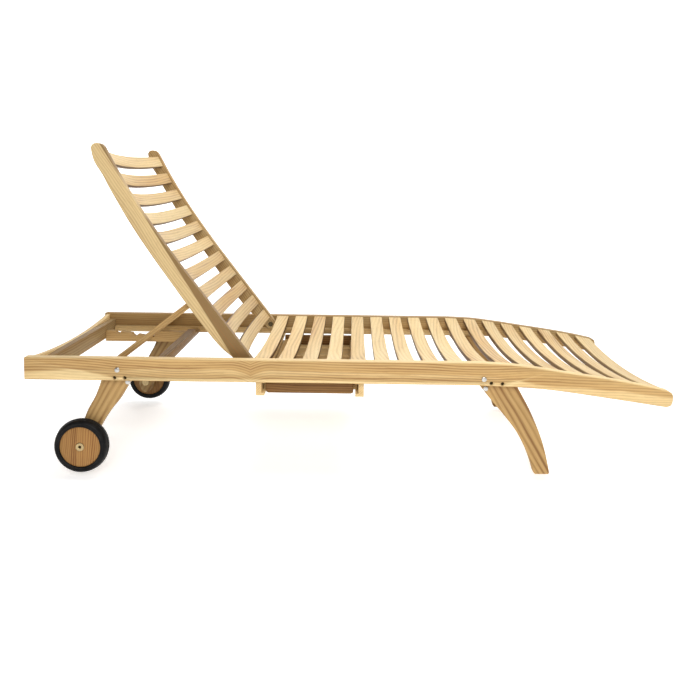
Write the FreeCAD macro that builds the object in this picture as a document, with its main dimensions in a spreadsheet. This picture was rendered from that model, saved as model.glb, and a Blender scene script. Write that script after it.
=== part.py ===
# Reclining sun lounger, built in millimetres.
# +Z is up, -X is the head end, +X is the foot end, -Y is the near side.
# The origin lies on the ground, in the middle of the footprint.

import FreeCAD, Part
import math
import os

Vector = FreeCAD.Vector

DIMENSIONS = {
    # frame
    "frame_length": 2000,
    "rail_thickness": 28,
    "rail_inner": 312,
    "rail_outer": 340,
    "rail_top": 360,
    "rail_bottom": 290,
    "rail_edge_radius": 3,
    "ledger_width": 20,
    "ledger_height": 21,
    "ledger_start": -952,
    "ledger_length": 1492,
    # slats of the seat
    "slat_width": 48,
    "slat_thickness": 16,
    "slat_sag": 20,
    "slat_first": -272,
    "slat_pitch": 75.75,
    "slat_count": 17,
    "slat_drop": 2,
    "last_slat_width": 64,
    "slat_edge_radius": 3,
    # boards of the head end
    "head_rail_start": -978,
    "head_rail_thickness": 24,
    "head_rail_bottom": 282,
    "head_rail_height": 56,
    "head_slat_start": -994,
    "head_slat_top": 356,
    # rack and brace
    "rack_inner": 200,
    "rack_thickness": 25,
    "rack_bottom": 273,
    "rack_top": 313,
    "brace_start": -638,
    "brace_width": 30,
    "brace_top": 318,
    "brace_step_top": 303,
    "brace_core": 232,
    "brace_half_length": 292,
    # legs
    "leg_inner": 284,
    "leg_thickness": 28,
    # wheels
    "axle_offset": -824.7,
    "axle_height": 84,
    "wheel_radius": 84,
    "wheel_inner": 316,
    "wheel_width": 40,
    "disc_radius": 63.5,
    "disc_recess": 3,
    "hub_radius": 13,
    "axle_radius": 7,
    "running_clearance": 0.05,
    # backrest
    "pivot_offset": -316,
    "pivot_height": 334,
    "pivot_bolt_radius": 5,
    "stile_inner": 266,
    "stile_thickness": 24,
    "back_slat_width": 44,
    "back_slat_pitch": 73.4,
    "back_slat_first": 44.7,
    "back_slat_count": 11,
    "back_slat_depth": 5,
    # prop
    "prop_pivot_offset": -492.7,
    "prop_pivot_height": 526.1,
    "prop_foot_offset": -776,
    "prop_foot_height": 304,
    "prop_bolt_radius": 4,
    "arm_inner": 240,
    "arm_thickness": 24,
    "arm_width": 19,
    "crossbar_radius": 10.5,
    # tray
    "runner_bottom": 240,
    "runner_wall": 17,
    "runner_lip": 10,
    "head_runner_start": -288,
    "foot_runner_start": 33,
    "tray_start": -259,
    "tray_length": 276,
    "tray_board_inner": 275,
    "tray_board_thickness": 18,
    "tray_board_bottom": 243,
    "tray_board_height": 43,
    "tray_floor_thickness": 10,
    "tray_floor_width": 95,
    "tray_floor_pitch": 117,
    # fasteners
    "dowel_radius": 5.8,
    "dowel_hole_radius": 6,
    "dowel_recess": 7,
    "cap_radius": 8,
    "cap_height": 3.5,
}

# Outlines, as (x, z) points of the side view.
RAIL_TOP = [(400, 360), (500, 355.5), (600, 343.5), (700, 329), (800, 315), (900, 298.5), (980, 282)]
RAIL_NOSE = [(980, 282), (996, 273), (1000, 257), (995, 236), (980, 229.5)]
RAIL_BOTTOM = [(980, 229.5), (800, 255.5), (600, 281), (400, 290)]

WHEEL_LEG_FRONT = [(-769, 290), (-789, 235), (-814, 189), (-830, 150), (-850, 110), (-854, 84)]
WHEEL_LEG_BACK = [(-796, 84), (-785, 118), (-771, 145), (-746, 184), (-718, 219), (-698, 252), (-674, 290)]
WHEEL_LEG_END_RADIUS = 29

FOOT_LEG_FRONT = [(404, 290), (434, 252), (491, 185), (526, 140), (553, 94), (573, 48), (587, 4)]
FOOT_LEG_BACK = [(636, 4), (623, 62), (608, 112), (589, 160), (569, 204), (550, 240), (522, 290)]
FOOT_SOLE_RADIUS = 4

STILE_FRONT = [(-530, 644), (-655.2, 822.3), (-764, 1011)]
STILE_TOP = [(-764, 1011), (-784, 1021.5), (-804, 1008)]
STILE_BACK = [(-804, 1008), (-794, 966), (-768, 923), (-744, 877), (-684, 773), (-622, 679),
              (-560, 592), (-498, 506), (-435, 424), (-398, 382), (-366, 355), (-331.4, 322.2)]

RACK_NOTCHES = [(-905, 303), (-840, 293.5)]
RACK_NOTCH_HALF_WIDTH = 11
RACK_SEAT = [(-795, 294.5), (-786, 291.3), (-766, 291.3), (-763.5, 294)]
RACK_LIPS = [(-916, 313), (-894, 312), (-851, 304.4), (-829, 300.5)]

DOWELS = [(-720, 299), (-688, 299), (441, 297.5), (475, 296)]
RAIL_CAPS = [(-711, 324), (418, 310)]
LEG_CAPS = [(-688, 278), (429, 272)]

doc = FreeCAD.newDocument("SunLounger")
sheet = doc.addObject("Spreadsheet::Sheet", "Dims")
for row, (alias, value) in enumerate(DIMENSIONS.items(), start=1):
    sheet.set("A%d" % row, alias)
    sheet.set("B%d" % row, str(value))
    sheet.setAlias("B%d" % row, alias)
doc.recompute()

SIDES = {"near": -1, "far": 1}
parts = []


def dim(alias):
    """Read one driving dimension from the sheet."""
    return float(getattr(sheet, alias))


def plane_of(body, role):
    return next(item for item in body.Origin.OriginFeatures if item.Role == role)


def new_body(label):
    body = doc.addObject("PartDesign::Body", label)
    body.Label = label
    parts.append(body)
    return body


def new_sketch(body, role, edges):
    """Sketch on one of the body's own origin planes, made of ready edges."""
    sketch = body.newObject("Sketcher::SketchObject", body.Label + "_outline")
    sketch.AttachmentSupport = [(plane_of(body, role), "")]
    sketch.MapMode = "FlatFace"
    for edge in edges:
        sketch.addGeometry(edge, False)
    return sketch


def pad(body, role, edges, length):
    """Pad an outline; on XZ_Plane the pad grows towards -Y."""
    feature = body.newObject("PartDesign::Pad", body.Label + "_pad")
    feature.Profile = new_sketch(body, role, edges)
    feature.setExpression("Length", length)
    body.Tip = feature
    return feature


def pocket_circles(body, role, centres, radius):
    """Round holes right through a board, drilled both ways from the sketch plane."""
    edges = [Part.Circle(Vector(x, z, 0), Vector(0, 0, 1), radius) for x, z in centres]
    feature = body.newObject("PartDesign::Pocket", body.Label + "_holes")
    feature.Profile = new_sketch(body, role, edges)
    feature.Type = "ThroughAll"
    feature.Midplane = True
    body.Tip = feature
    return feature


def round_edges(body, picked, radius):
    """Fillet the edges of the body's tip that the test picks."""
    doc.recompute()
    base = body.Tip
    names = ["Edge%d" % number for number, edge in enumerate(base.Shape.Edges, start=1) if picked(edge)]
    feature = body.newObject("PartDesign::Fillet", body.Label + "_round")
    feature.Base = (base, names)
    feature.setExpression("Radius", radius)
    body.Tip = feature
    return feature


def place(part, offsets, angle=None):
    """Bind the position of a part to the sheet, axis by axis."""
    for axis, expression in offsets.items():
        part.setExpression("Placement.Base." + axis, expression)
    if angle is not None:
        part.Placement.Rotation = FreeCAD.Rotation(Vector(0, 1, 0), angle)


def flat(point):
    return Vector(point[0], point[1], 0)


def line(start, end):
    return Part.LineSegment(flat(start), flat(end))


def lines(points):
    return [line(start, end) for start, end in zip(points, points[1:])]


def arc(start, middle, end):
    return Part.Arc(flat(start), flat(middle), flat(end))


def curve(points, first=None, last=None):
    """Smooth curve through points, with optional end directions."""
    spline = Part.BSplineCurve()
    if first is None:
        spline.interpolate([flat(point) for point in points])
    else:
        spline.interpolate(Points=[flat(point) for point in points],
                           InitialTangent=flat(first), FinalTangent=flat(last))
    return spline


def side_place(part, side, inner, outer):
    """Put a pad that grows towards -Y between two distances from the middle."""
    place(part, {"y": "-Dims." + inner if side < 0 else outer})


def on_side_faces(edge):
    """True for the outline edges of a board that stands across Y."""
    box = edge.BoundBox
    return box.YLength < 0.01


def box_part(label, sizes, offsets):
    part = doc.addObject("Part::Box", label)
    part.Label = label
    for name, expression in zip(("Length", "Width", "Height"), sizes):
        part.setExpression(name, expression)
    place(part, offsets)
    parts.append(part)
    return part


def cylinder_along_y(centre, radius, low, high):
    """Solid cylinder along Y between two Y values."""
    start = Vector(centre[0], low, centre[1])
    return Part.makeCylinder(radius, high - low, start, Vector(0, 1, 0))


def both_sides(centre, radius, inner, outer):
    """The same cylinder on the far and on the near side."""
    return [cylinder_along_y(centre, radius, inner, outer), cylinder_along_y(centre, radius, -outer, -inner)]


def solids_part(label, solids):
    """Several separate solids of one kind, kept as one sub-part."""
    part = doc.addObject("Part::Feature", label)
    part.Label = label
    part.Shape = Part.makeCompound(solids)
    parts.append(part)
    return part


def scooped_outline(half, top, sag, thickness):
    """Board seen along its width: both faces follow the same hollow curve."""
    upper = arc((-half, top), (0, top - sag), (half, top))
    lower = arc((-half, top - thickness), (0, top - sag - thickness), (half, top - thickness))
    ends = [line((side * half, top), (side * half, top - thickness)) for side in (-1, 1)]
    return [upper, lower] + ends


def scooped_slat(label, half, width):
    """Hollowed slat with its top ends at local height zero, centred on local X."""
    body = new_body(label)
    outline = scooped_outline(dim(half), 0, dim("slat_sag"), dim("slat_thickness"))
    feature = pad(body, "YZ_Plane", outline, "Dims." + width)
    feature.Midplane = True
    round_edges(body, lambda edge: edge.BoundBox.YLength > dim(half), "Dims.slat_edge_radius")
    return body


# ---- frame: rails, ledgers, seat slats ---------------------------------------------------------

rail_top_curve = curve(RAIL_TOP, (1, 0), (1, -0.22))


def side_rail(name, side):
    head = -dim("frame_length") / 2
    body = new_body("side_rail_" + name)
    outline = [line((head, dim("rail_bottom")), (head, dim("rail_top"))),
               line((head, dim("rail_top")), RAIL_TOP[0]),
               rail_top_curve,
               curve(RAIL_NOSE, (1, -0.22), (-1, 0.18)),
               curve(RAIL_BOTTOM, (-1, 0.18), (-1, 0)),
               line(RAIL_BOTTOM[-1], (head, dim("rail_bottom")))]
    pad(body, "XZ_Plane", outline, "Dims.rail_thickness")
    round_edges(body, on_side_faces, "Dims.rail_edge_radius")
    pocket_circles(body, "XZ_Plane", DOWELS, dim("dowel_hole_radius"))
    side_place(body, side, "rail_inner", "Dims.rail_outer")


def ledger(name, side):
    offset = "-Dims.rail_inner" if side < 0 else "Dims.rail_inner - Dims.ledger_width"
    box_part("ledger_" + name, ("Dims.ledger_length", "Dims.ledger_width", "Dims.ledger_height"),
             {"x": "Dims.ledger_start", "y": offset, "z": "Dims.rail_bottom"})


def rail_point(x):
    """Height and slope angle of the rail's top edge at x."""
    if x <= RAIL_TOP[0][0]:
        return dim("rail_top"), 0.0
    nearest = min(RAIL_TOP, key=lambda point: abs(point[0] - x))
    guess = Vector(x, nearest[1] - 0.16 * (x - nearest[0]), 0)
    parameter = rail_top_curve.parameter(guess)
    point = rail_top_curve.value(parameter)
    tangent = rail_top_curve.tangent(parameter)[0]
    slope = tangent.y / tangent.x
    return point.y + slope * (x - point.x), math.degrees(math.atan(slope))


def seat_slat(index):
    last = index == int(dim("slat_count"))
    body = scooped_slat("seat_slat_%02d" % index, "rail_inner", "last_slat_width" if last else "slat_width")
    shift = "(Dims.last_slat_width - Dims.slat_width) / 2" if last else "0"
    position = "Dims.slat_first + %d * Dims.slat_pitch + %s" % (index - 1, shift)
    extra = (dim("last_slat_width") - dim("slat_width")) / 2 if last else 0
    height, slope = rail_point(dim("slat_first") + (index - 1) * dim("slat_pitch") + extra)
    place(body, {"x": position, "z": "%.3f - Dims.slat_drop" % height}, -slope)


# ---- frame: head end, rack and brace --------------------------------------------------------

def head_boards():
    box_part("head_rail", ("Dims.head_rail_thickness", "2 * Dims.rail_inner", "Dims.head_rail_height"),
             {"x": "Dims.head_rail_start", "y": "-Dims.rail_inner", "z": "Dims.head_rail_bottom"})
    body = new_body("head_slat")
    half = dim("rail_inner")
    top = dim("head_slat_top")
    bottom = dim("rail_bottom")
    outline = [arc((-half, top), (0, top - dim("slat_sag")), (half, top)),
               line((half, top), (half, bottom)),
               line((half, bottom), (-half, bottom)),
               line((-half, bottom), (-half, top))]
    pad(body, "YZ_Plane", outline, "Dims.slat_thickness")
    place(body, {"x": "Dims.head_slat_start"})


def prop_rack(name, side):
    """Notched rack; the teeth stay just under the path of the prop's foot."""
    start = dim("head_rail_start") + dim("head_rail_thickness")
    end = dim("brace_start")
    bottom = dim("rack_bottom")
    top = dim("rack_top")
    wall = RACK_SEAT[-1][0]
    outline = lines([(start, top), (start, bottom), (end, bottom), (end, top), (wall, top), RACK_SEAT[-1]])
    outline.append(arc(RACK_SEAT[-1], (wall - 1.0, RACK_SEAT[-1][1] - 2.0), RACK_SEAT[-2]))
    outline += lines([RACK_SEAT[2], RACK_SEAT[1], RACK_SEAT[0], RACK_LIPS[3]])
    outline.append(arc(RACK_LIPS[3], RACK_NOTCHES[1], RACK_LIPS[2]))
    outline.append(line(RACK_LIPS[2], RACK_LIPS[1]))
    outline.append(arc(RACK_LIPS[1], RACK_NOTCHES[0], RACK_LIPS[0]))
    outline.append(line(RACK_LIPS[0], (start, top)))
    body = new_body("prop_rack_" + name)
    pad(body, "XZ_Plane", outline, "Dims.rack_thickness")
    side_place(body, side, "rack_inner", "Dims.rack_inner + Dims.rack_thickness")


def cross_brace():
    """Cross rail with lowered ends that leave room for the backrest and the prop."""
    half = dim("brace_half_length")
    core = dim("brace_core")
    bottom = dim("rail_bottom")
    step = dim("brace_step_top")
    top = dim("brace_top")
    body = new_body("cross_brace")
    outline = lines([(-half, bottom), (half, bottom), (half, step), (core, step), (core, top),
                     (-core, top), (-core, step), (-half, step), (-half, bottom)])
    pad(body, "YZ_Plane", outline, "Dims.brace_width")
    place(body, {"x": "Dims.brace_start"})


# ---- frame: legs and fasteners ------------------------------------------------------------

def wheel_leg(name, side):
    body = new_body("wheel_leg_" + name)
    lowest = (-825, dim("axle_height") - WHEEL_LEG_END_RADIUS - 14)
    outline = [curve(WHEEL_LEG_FRONT),
               curve([WHEEL_LEG_FRONT[-1], (-845, 54), lowest, (-805, 54), WHEEL_LEG_BACK[0]]),
               curve(WHEEL_LEG_BACK),
               line(WHEEL_LEG_BACK[-1], WHEEL_LEG_FRONT[0])]
    pad(body, "XZ_Plane", outline, "Dims.leg_thickness")
    axle = [(dim("axle_offset"), dim("axle_height"))]
    pocket_circles(body, "XZ_Plane", axle, dim("axle_radius"))
    side_place(body, side, "leg_inner", "Dims.leg_inner + Dims.leg_thickness")


def foot_leg(name, side):
    body = new_body("foot_leg_" + name)
    toe = FOOT_LEG_FRONT[-1]
    heel = FOOT_LEG_BACK[0]
    outline = [curve(FOOT_LEG_FRONT),
               arc(toe, (toe[0] + 1.5, 1.2), (toe[0] + FOOT_SOLE_RADIUS, 0)),
               line((toe[0] + FOOT_SOLE_RADIUS, 0), (heel[0] - FOOT_SOLE_RADIUS, 0)),
               arc((heel[0] - FOOT_SOLE_RADIUS, 0), (heel[0] - 1.0, 1.2), heel),
               curve(FOOT_LEG_BACK),
               line(FOOT_LEG_BACK[-1], FOOT_LEG_FRONT[0])]
    pad(body, "XZ_Plane", outline, "Dims.leg_thickness")
    side_place(body, side, "leg_inner", "Dims.leg_inner + Dims.leg_thickness")


def domed_caps(centre, face):
    """Low round caps that stand on a side face, near and far."""
    height = dim("cap_height")
    radius = dim("cap_radius")
    caps = both_sides(centre, radius, face, face + height)
    rims = [max(cap.Edges, key=lambda edge: abs(edge.BoundBox.Center.y)) for cap in caps]
    return [cap.makeFillet(height * 0.6, [rim]) for cap, rim in zip(caps, rims)]


def leg_bolts():
    inner = dim("rail_inner")
    solids = []
    for centre in DOWELS:
        solids += both_sides(centre, dim("dowel_radius"), inner + 1, dim("rail_outer") - dim("dowel_recess"))
    for centre in RAIL_CAPS:
        solids += domed_caps(centre, dim("rail_outer"))
    for centre in LEG_CAPS:
        solids += domed_caps(centre, inner)
    solids_part("leg_bolts", solids)


def axle_bolts():
    """Stub axles: head, shank, spacer and the hub that the wheel turns on."""
    centre = (dim("axle_offset"), dim("axle_height"))
    inner = dim("leg_inner")
    face = inner + dim("leg_thickness")
    wheel_face = dim("wheel_inner") + dim("wheel_width") - dim("disc_recess")
    solids = []
    for side in (-1, 1):
        spans = [(dim("hub_radius"), inner - 8, inner), (dim("axle_radius"), inner, face),
                 (20, face, dim("wheel_inner") - 0.4), (dim("hub_radius"), dim("wheel_inner") - 0.4, wheel_face + 1)]
        pieces = []
        for radius, low, high in spans:
            low_y, high_y = sorted((side * low, side * high))
            pieces.append(cylinder_along_y(centre, radius, low_y, high_y))
        low_y, high_y = sorted((side * (wheel_face - 7), side * (wheel_face + 1)))
        socket = cylinder_along_y(centre, 4.5, low_y, high_y)
        solids.append(pieces[0].multiFuse(pieces[1:]).removeSplitter().cut(socket))
    solids_part("axle_bolts", [solid.Solids[0] for solid in solids])


def pivot_bolts():
    """Bolts from the rails through the stiles, with a spacer and a nut each."""
    centre = (dim("pivot_offset"), dim("pivot_height"))
    inner = dim("stile_inner")
    outer = inner + dim("stile_thickness")
    solids = []
    for side in (-1, 1):
        spans = [(9, inner - 7, inner - 0.6), (dim("pivot_bolt_radius"), inner - 0.6, outer + 0.6),
                 (12, outer + 0.6, dim("rail_inner"))]
        pieces = []
        for radius, low, high in spans:
            low_y, high_y = sorted((side * low, side * high))
            pieces.append(cylinder_along_y(centre, radius, low_y, high_y))
        solids.append(pieces[0].multiFuse(pieces[1:]).removeSplitter().Solids[0])
    solids_part("pivot_bolts", solids)


# ---- backrest ----------------------------------------------------------------------------

def stile(name, side):
    pivot = (dim("pivot_offset"), dim("pivot_height"))
    reach = 19.4
    toe = (pivot[0] + 0.793 * reach, pivot[1] + 0.609 * reach)
    low = (pivot[0] + 0.609 * reach, pivot[1] - 0.793 * reach)
    heel = STILE_BACK[-1]
    body = new_body("stile_" + name)
    outline = [line(toe, STILE_FRONT[0]),
               arc(*STILE_FRONT),
               arc(*STILE_TOP),
               curve(STILE_BACK),
               arc(heel, low, toe)]
    pad(body, "XZ_Plane", outline, "Dims.stile_thickness")
    pocket_circles(body, "XZ_Plane", [pivot], dim("pivot_bolt_radius") + dim("running_clearance"))
    prop_pivot = (dim("prop_pivot_offset"), dim("prop_pivot_height"))
    pocket_circles(body, "XZ_Plane", [prop_pivot], dim("prop_bolt_radius"))
    side_place(body, side, "stile_inner", "Dims.stile_inner + Dims.stile_thickness")


def front_point(distance):
    """Point and direction on the stile's front edge, measured up from its foot."""
    start = Vector(-300, 345, 0)
    bend = flat(STILE_FRONT[0])
    straight = (bend - start).Length
    if distance <= straight:
        direction = (bend - start).normalize()
        return start + direction * distance, direction
    circle = arc(*STILE_FRONT)
    shape = circle.toShape()
    near_bend = (shape.valueAt(shape.FirstParameter) - bend).Length < 0.1
    travelled = distance - straight
    length = travelled if near_bend else shape.Length - travelled
    parameter = shape.getParameterByLength(length)
    direction = shape.tangentAt(parameter)
    if direction.y < 0:
        direction = direction * -1
    return shape.valueAt(parameter), direction


def back_slat(index):
    body = scooped_slat("back_slat_%02d" % index, "stile_inner", "back_slat_width")
    point, direction = front_point(dim("back_slat_first") + (index - 1) * dim("back_slat_pitch"))
    inward = Vector(-direction.y, direction.x, 0)
    seat = point + inward * dim("back_slat_depth")
    # local +X runs down the backrest and local +Z out of its front
    angle = math.degrees(math.atan2(direction.y, -direction.x))
    body.Placement = FreeCAD.Placement(Vector(seat.x, 0, seat.y), FreeCAD.Rotation(Vector(0, 1, 0), angle))


def prop_bolts():
    centre = (dim("prop_pivot_offset"), dim("prop_pivot_height"))
    outer = dim("stile_inner") + dim("stile_thickness")
    arm = dim("arm_inner")
    solids = []
    for side in (-1, 1):
        pieces = []
        for radius, low, high in ((7.5, arm - 5.6, arm - 0.6), (dim("prop_bolt_radius"), arm - 0.6, outer - 3)):
            low_y, high_y = sorted((side * low, side * high))
            pieces.append(cylinder_along_y(centre, radius, low_y, high_y))
        solids.append(pieces[0].fuse(pieces[1]).removeSplitter().Solids[0])
    solids_part("prop_bolts", solids)


# ---- prop ----------------------------------------------------------------------------------

def prop_arm(name, side):
    pivot = Vector(dim("prop_pivot_offset"), dim("prop_pivot_height"), 0)
    foot = Vector(dim("prop_foot_offset"), dim("prop_foot_height"), 0)
    half = dim("arm_width") / 2
    along = (pivot - foot).normalize()
    across = Vector(-along.y, along.x, 0) * half
    body = new_body("prop_arm_" + name)
    outline = [Part.LineSegment(foot + across, pivot + across),
               Part.Arc(pivot + across, pivot + along * half, pivot - across),
               Part.LineSegment(pivot - across, foot - across),
               Part.Arc(foot - across, foot - along * half, foot + across)]
    pad(body, "XZ_Plane", outline, "Dims.arm_thickness")
    hole = dim("prop_bolt_radius") + dim("running_clearance")
    pocket_circles(body, "XZ_Plane", [(pivot.x, pivot.y)], hole)
    side_place(body, side, "arm_inner", "Dims.arm_inner + Dims.arm_thickness")


def prop_crossbar():
    part = doc.addObject("Part::Cylinder", "prop_crossbar")
    part.Label = "prop_crossbar"
    part.setExpression("Radius", "Dims.crossbar_radius")
    part.setExpression("Height", "2 * Dims.arm_inner")
    part.Placement.Rotation = FreeCAD.Rotation(Vector(1, 0, 0), -90)
    place(part, {"x": "Dims.prop_foot_offset", "y": "-Dims.arm_inner", "z": "Dims.prop_foot_height"})
    parts.append(part)


# ---- wheels --------------------------------------------------------------------------------

def wheel(name, side):
    """Rubber tyre with a raised middle rib around a wooden disc."""
    radius = dim("wheel_radius")
    disc = dim("disc_radius")
    width = dim("wheel_width")
    recess = dim("disc_recess")
    body = new_body("tyre_" + name)
    # profile in the (radius, width) half plane
    outline = lines([(disc, 0), (disc + 4, 0)])
    outline.append(arc((disc + 4, 0), (radius - 4.5, 3.5), (radius - 1.5, 12)))
    outline += lines([(radius - 1.5, 12), (radius - 1.5, 17), (radius, 18.5), (radius, width - 18.5),
                      (radius - 1.5, width - 17), (radius - 1.5, width - 12)])
    outline.append(arc((radius - 1.5, width - 12), (radius - 4.5, width - 3.5), (disc + 4, width)))
    outline += lines([(disc + 4, width), (disc, width), (disc, 0)])
    sketch = new_sketch(body, "XZ_Plane", outline)
    feature = body.newObject("PartDesign::Revolution", "tyre_" + name + "_turn")
    feature.Profile = sketch
    feature.ReferenceAxis = (sketch, ["V_Axis"])
    feature.Angle = 360
    body.Tip = feature
    # the body's own Z axis becomes the wheel's axle
    inner = dim("wheel_inner")
    turn = FreeCAD.Rotation(Vector(1, 0, 0), -90)
    start = inner if side > 0 else -inner - width
    centre = Vector(dim("axle_offset"), start, dim("axle_height"))
    body.Placement = FreeCAD.Placement(centre, turn)

    disc_part = doc.addObject("Part::Cut", "wheel_disc_" + name)
    disc_part.Label = "wheel_disc_" + name
    blank = doc.addObject("Part::Cylinder", "disc_blank_" + name)
    blank.setExpression("Radius", "Dims.disc_radius")
    blank.setExpression("Height", "Dims.wheel_width - 2 * Dims.disc_recess")
    bore = doc.addObject("Part::Cylinder", "disc_bore_" + name)
    bore.setExpression("Radius", "Dims.hub_radius + Dims.running_clearance")
    bore.setExpression("Height", "Dims.wheel_width")
    disc_part.Base = blank
    disc_part.Tool = bore
    disc_start = centre + Vector(0, recess, 0)
    disc_part.Placement = FreeCAD.Placement(disc_start, turn)
    parts.append(disc_part)


# ---- tray ----------------------------------------------------------------------------------

def tray_runner(label, start, inward):
    """C channel across the frame; inward is +1 when the groove opens towards +X."""
    wall = dim("runner_wall")
    lip = dim("runner_lip")
    bottom = dim("runner_bottom")
    top = dim("rail_bottom")
    back = start if inward > 0 else start + wall
    face = back + inward * wall
    edge = face + inward * lip
    outline = lines([(back, bottom), (edge, bottom), (edge, bottom + lip), (face, bottom + lip),
                     (face, top - lip), (edge, top - lip), (edge, top), (back, top), (back, bottom)])
    body = new_body(label)
    pad(body, "XZ_Plane", outline, "2 * Dims.rail_inner")
    place(body, {"y": "Dims.rail_inner"})


def tray_board(name, side):
    """End board of the tray with rounded lower corners."""
    start = dim("tray_start")
    end = start + dim("tray_length")
    bottom = dim("tray_board_bottom")
    top = bottom + dim("tray_board_height")
    turn = 9
    body = new_body("tray_board_" + name)
    outline = [line((start, top), (start, bottom + turn)),
               arc((start, bottom + turn), (start + 2.6, bottom + 2.6), (start + turn, bottom)),
               line((start + turn, bottom), (end - turn, bottom)),
               arc((end - turn, bottom), (end - 2.6, bottom + 2.6), (end, bottom + turn)),
               line((end, bottom + turn), (end, top)),
               line((end, top), (start, top))]
    pad(body, "XZ_Plane", outline, "Dims.tray_board_thickness")
    side_place(body, side, "tray_board_inner", "Dims.tray_board_inner + Dims.tray_board_thickness")


def block(low, high):
    """Solid box between two corners."""
    size = high - low
    return Part.makeBox(size.x, size.y, size.z, low)


def tray_sides():
    """Cleats on the floor slats, each with a tongue that runs in a channel."""
    start = dim("tray_start")
    end = start + dim("tray_length")
    half = dim("tray_board_inner")
    floor = dim("runner_bottom") + dim("tray_floor_thickness")
    solids = []
    for cleat, tongue in (((start, start + 15), (start - 9, start + 1)), ((end - 15, end), (end - 1, end + 13))):
        body = block(Vector(cleat[0], -half, floor), Vector(cleat[1], half, floor + 21))
        rib = block(Vector(tongue[0], -half, floor + 1), Vector(tongue[1], half, floor + 17))
        solids.append(body.fuse(rib).removeSplitter().Solids[0])
    solids_part("tray_sides", solids)


def tray_floor():
    start = dim("tray_start")
    end = start + dim("tray_length")
    low = dim("runner_bottom")
    high = low + dim("tray_floor_thickness")
    half = dim("tray_floor_width") / 2
    pitch = dim("tray_floor_pitch")
    spans = [((step - 0.5) * pitch - half, (step - 0.5) * pitch + half) for step in (-1, 0, 1, 2)]
    outer = spans[-1][1] + pitch - 2 * half
    spans += [(outer, dim("tray_board_inner")), (-dim("tray_board_inner"), -outer)]
    solids_part("tray_floor", [block(Vector(start, left, low), Vector(end, right, high)) for left, right in spans])


# ---- the whole lounger ------------------------------------------------------------------------

for side_name, side_sign in SIDES.items():
    side_rail(side_name, side_sign)
    ledger(side_name, side_sign)
    prop_rack(side_name, side_sign)
    wheel_leg(side_name, side_sign)
    foot_leg(side_name, side_sign)
    stile(side_name, side_sign)
    prop_arm(side_name, side_sign)
    wheel(side_name, side_sign)
    tray_board(side_name, side_sign)
for number in range(1, int(dim("slat_count")) + 1):
    seat_slat(number)
for number in range(1, int(dim("back_slat_count")) + 1):
    back_slat(number)
head_boards()
cross_brace()
leg_bolts()
axle_bolts()
pivot_bolts()
prop_bolts()
prop_crossbar()
tray_runner("tray_runner_head", dim("head_runner_start"), 1)
tray_runner("tray_runner_foot", dim("foot_runner_start"), -1)
tray_sides()
tray_floor()
doc.recompute()

os.makedirs("parts", exist_ok=True)
for item in doc.Objects:
    if "Invalid" in item.State or "Error" in item.State:
        raise RuntimeError("%s did not recompute: %s" % (item.Name, item.State))
for part in parts:
    if part.Shape.isNull() or not part.Shape.isValid():
        raise RuntimeError("%s has no valid shape" % part.Label)
    part.Shape.exportStep(os.path.join("parts", part.Label + ".step"))
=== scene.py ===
import math

import bpy
from mathutils import Matrix, Vector


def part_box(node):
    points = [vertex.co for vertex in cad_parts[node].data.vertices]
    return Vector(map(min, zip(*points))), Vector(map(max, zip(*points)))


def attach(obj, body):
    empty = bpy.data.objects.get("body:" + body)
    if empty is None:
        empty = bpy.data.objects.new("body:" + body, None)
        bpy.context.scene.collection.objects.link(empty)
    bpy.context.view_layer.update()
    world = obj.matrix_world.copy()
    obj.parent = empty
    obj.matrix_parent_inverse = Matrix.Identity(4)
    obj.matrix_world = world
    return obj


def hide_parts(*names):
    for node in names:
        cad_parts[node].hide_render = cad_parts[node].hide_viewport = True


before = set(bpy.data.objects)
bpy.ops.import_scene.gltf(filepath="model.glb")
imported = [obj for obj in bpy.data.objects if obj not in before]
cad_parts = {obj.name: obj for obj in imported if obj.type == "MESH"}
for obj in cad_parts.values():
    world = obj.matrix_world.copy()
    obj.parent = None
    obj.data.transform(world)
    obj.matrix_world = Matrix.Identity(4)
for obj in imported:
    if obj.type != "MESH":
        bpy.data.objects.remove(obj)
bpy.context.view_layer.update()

bl_info = {
    "name": "Reclining Sun Lounger",
    "version": (1, 0, 0),
    "blender": (4, 5, 0),
    "location": "View3D > Sidebar > Lounger",
    "description": "Builds a slatted teak sun lounger with a reclining backrest, wheels and a pull-out tray",
    "category": "Object",
}

# Outlines of the side view, as (x, z) in metres.
RAIL_TOP = [(0.400, 0.360), (0.500, 0.3555), (0.600, 0.3435), (0.700, 0.329), (0.800, 0.315),
            (0.900, 0.2985), (0.980, 0.282)]
RAIL_NOSE = [(0.980, 0.282), (0.996, 0.273), (1.000, 0.257), (0.995, 0.236), (0.980, 0.2295)]
RAIL_BOTTOM = [(0.980, 0.2295), (0.800, 0.2555), (0.600, 0.281), (0.400, 0.290)]
WHEEL_LEG_FRONT = [(-0.769, 0.290), (-0.789, 0.235), (-0.814, 0.189), (-0.830, 0.150), (-0.850, 0.110),
                   (-0.854, 0.084), (-0.845, 0.054), (-0.825, 0.041), (-0.805, 0.054)]
WHEEL_LEG_BACK = [(-0.796, 0.084), (-0.785, 0.118), (-0.771, 0.145), (-0.746, 0.184), (-0.718, 0.219),
                  (-0.698, 0.252), (-0.674, 0.290)]
FOOT_LEG_FRONT = [(0.404, 0.290), (0.434, 0.252), (0.491, 0.185), (0.526, 0.140), (0.553, 0.094),
                  (0.573, 0.048), (0.587, 0.004), (0.591, 0.000)]
FOOT_LEG_BACK = [(0.632, 0.000), (0.636, 0.004), (0.623, 0.062), (0.608, 0.112), (0.589, 0.160),
                 (0.569, 0.204), (0.550, 0.240), (0.522, 0.290)]
STILE_FOOT = (-0.300, 0.345)
STILE_BEND = (-0.530, 0.644)
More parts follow.
